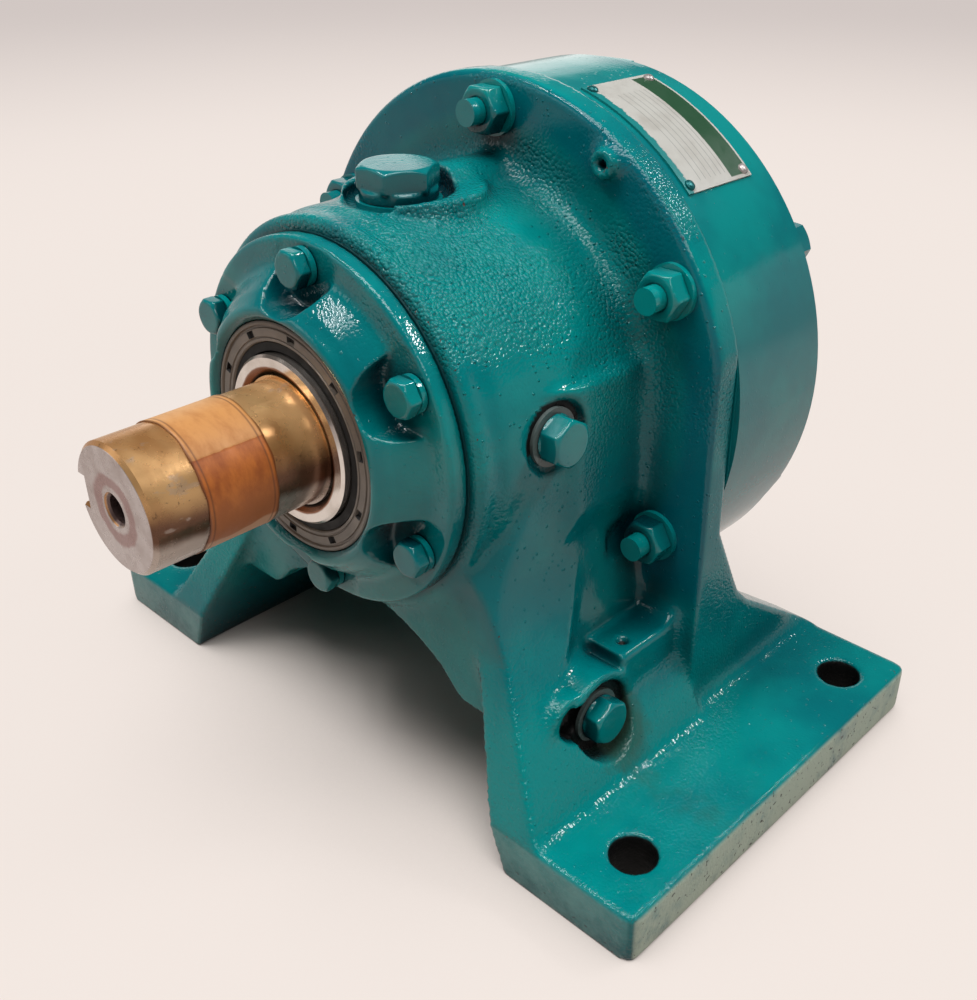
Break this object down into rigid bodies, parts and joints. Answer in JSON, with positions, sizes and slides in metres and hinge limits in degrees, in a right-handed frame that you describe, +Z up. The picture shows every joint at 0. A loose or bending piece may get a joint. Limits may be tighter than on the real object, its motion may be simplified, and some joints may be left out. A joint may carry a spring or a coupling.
{
  "type": "foot-mounted cycloidal speed reducer",
  "caption": "Foot-mounted concentric cycloidal speed reducer: teal cast casing, bolted cover, keyed steel output shaft, ring gear housing behind and a working cycloid stage inside.",
  "frame": {"origin": "centre of the four foot holes, on the underside of the feet", "axes": "+X across the feet to the side with the level and drain plugs, +Y along the shafts from the output end to the input end, +Z up; both shafts lie on x = 0, z = 150 mm"},
  "size_m": [0.33, 0.3135, 0.265],
  "materials": {
    "paint": "gloss teal enamel over rough castings and their fasteners",
    "output_shaft_steel": "turned, under a golden rust-preventing varnish",
    "input_shaft_steel": "turned and ground",
    "collar_steel": "turned, with a light bevel",
    "bearing_steel": "ground and polished",
    "disc_steel": "ground",
    "spring_steel": "blackened",
    "seal_rubber": "matte",
    "seal_case": "rubber-covered steel case, matte grey-brown",
    "gasket": "dark fibre sheet",
    "cage_brass": "machined",
    "nameplate": "thin plate, satin white, bare of words",
    "rivet_metal": "satin"
  },
  "bodies": {
    "root": {"casing": "paint", "output_cover": "paint", "cover_gasket": "gasket", "cover_bolts": "paint", "cover_spring_washers": "paint", "output_seal_case": "seal_case", "output_seal_lip": "seal_rubber", "output_seal_spring": "spring_steel", "front_bearing_outer_ring": "bearing_steel", "rear_bearing_outer_ring": "bearing_steel", "rear_bearing_snap_ring": "spring_steel", "ring_gear_housing": "paint", "ring_pins": "bearing_steel", "ring_rollers": "bearing_steel", "front_gasket": "gasket", "rear_gasket": "gasket", "end_cover": "paint", "through_bolts": "paint", "through_bolt_nuts": "paint", "through_bolt_washers": "paint", "fill_plug": "paint", "fill_plug_washer": "paint", "level_plug": "paint", "level_plug_washer": "paint", "drain_plug": "paint", "drain_plug_washer": "paint", "input_bearing_outer_ring": "bearing_steel", "input_bearing_snap_ring": "spring_steel", "input_seal": "seal_rubber", "nameplate": "nameplate", "nameplate_rivets": "rivet_metal"},
    "output": {"output_shaft": "output_shaft_steel", "output_collar": "collar_steel", "output_pins": "bearing_steel", "output_rollers": "bearing_steel", "front_bearing_inner_ring": "bearing_steel", "rear_bearing_inner_ring": "bearing_steel", "pilot_bearing_outer_ring": "bearing_steel", "disc_spacer": "bearing_steel"},
    "input": {"input_shaft": "input_shaft_steel", "eccentric_cam": "bearing_steel", "cam_key": "spring_steel", "input_bearing_inner_ring": "bearing_steel", "pilot_bearing_inner_ring": "bearing_steel", "cam_retaining_ring": "spring_steel"},
    "disc_a": {"cycloid_disc_a": "disc_steel"},
    "disc_b": {"cycloid_disc_b": "disc_steel"},
    "front_cage": {"front_bearing_cage": "cage_brass", "front_bearing_balls": "bearing_steel"},
    "rear_cage": {"rear_bearing_cage": "cage_brass", "rear_bearing_balls": "bearing_steel"},
    "pilot_cage": {"pilot_bearing_cage": "cage_brass", "pilot_bearing_balls": "bearing_steel"},
    "input_cage": {"input_bearing_cage": "cage_brass", "input_bearing_balls": "bearing_steel"},
    "roller_cage_a": {"eccentric_cage_a": "cage_brass", "eccentric_rollers_a": "bearing_steel"},
    "roller_cage_b": {"eccentric_cage_b": "cage_brass", "eccentric_rollers_b": "bearing_steel"}
  },
  "joints": [
    {"name": "input_spin", "type": "hinge", "parent": "root", "child": "input", "pos_m": [0, 0, 0.15], "axis": [0, 1, 0], "continuous": true},
    {"name": "output_spin", "type": "hinge", "parent": "root", "child": "output", "pos_m": [0, 0, 0.15], "axis": [0, 1, 0], "continuous": true},
    {"name": "disc_a_spin", "type": "hinge", "parent": "input", "child": "disc_a", "pos_m": [0.0027, 0, 0.15], "axis": [0, 1, 0], "continuous": true},
    {"name": "disc_b_spin", "type": "hinge", "parent": "input", "child": "disc_b", "pos_m": [-0.0027, 0, 0.15], "axis": [0, 1, 0], "continuous": true},
    {"name": "front_cage_spin", "type": "hinge", "parent": "root", "child": "front_cage", "pos_m": [0, 0, 0.15], "axis": [0, 1, 0], "continuous": true},
    {"name": "rear_cage_spin", "type": "hinge", "parent": "root", "child": "rear_cage", "pos_m": [0, 0, 0.15], "axis": [0, 1, 0], "continuous": true},
    {"name": "pilot_cage_spin", "type": "hinge", "parent": "root", "child": "pilot_cage", "pos_m": [0, 0, 0.15], "axis": [0, 1, 0], "continuous": true},
    {"name": "input_cage_spin", "type": "hinge", "parent": "root", "child": "input_cage", "pos_m": [0, 0, 0.15], "axis": [0, 1, 0], "continuous": true},
    {"name": "roller_cage_a_spin", "type": "hinge", "parent": "input", "child": "roller_cage_a", "pos_m": [0.0027, 0, 0.15], "axis": [0, 1, 0], "continuous": true},
    {"name": "roller_cage_b_spin", "type": "hinge", "parent": "input", "child": "roller_cage_b", "pos_m": [-0.0027, 0, 0.15], "axis": [0, 1, 0], "continuous": true}
  ],
  "couplings": [
    {"joint": "output_spin", "follows": "input_spin", "ratio": -0.058824},
    {"joint": "disc_a_spin", "follows": "input_spin", "ratio": -1.0588},
    {"joint": "disc_b_spin", "follows": "input_spin", "ratio": -1.0588},
    {"joint": "front_cage_spin", "follows": "input_spin", "ratio": -0.023992},
    {"joint": "rear_cage_spin", "follows": "input_spin", "ratio": -0.024114},
    {"joint": "pilot_cage_spin", "follows": "input_spin", "ratio": 0.33059},
    {"joint": "input_cage_spin", "follows": "input_spin", "ratio": 0.39652},
    {"joint": "roller_cage_a_spin", "follows": "input_spin", "ratio": -0.62557},
    {"joint": "roller_cage_b_spin", "follows": "input_spin", "ratio": -0.62557}
  ]
}
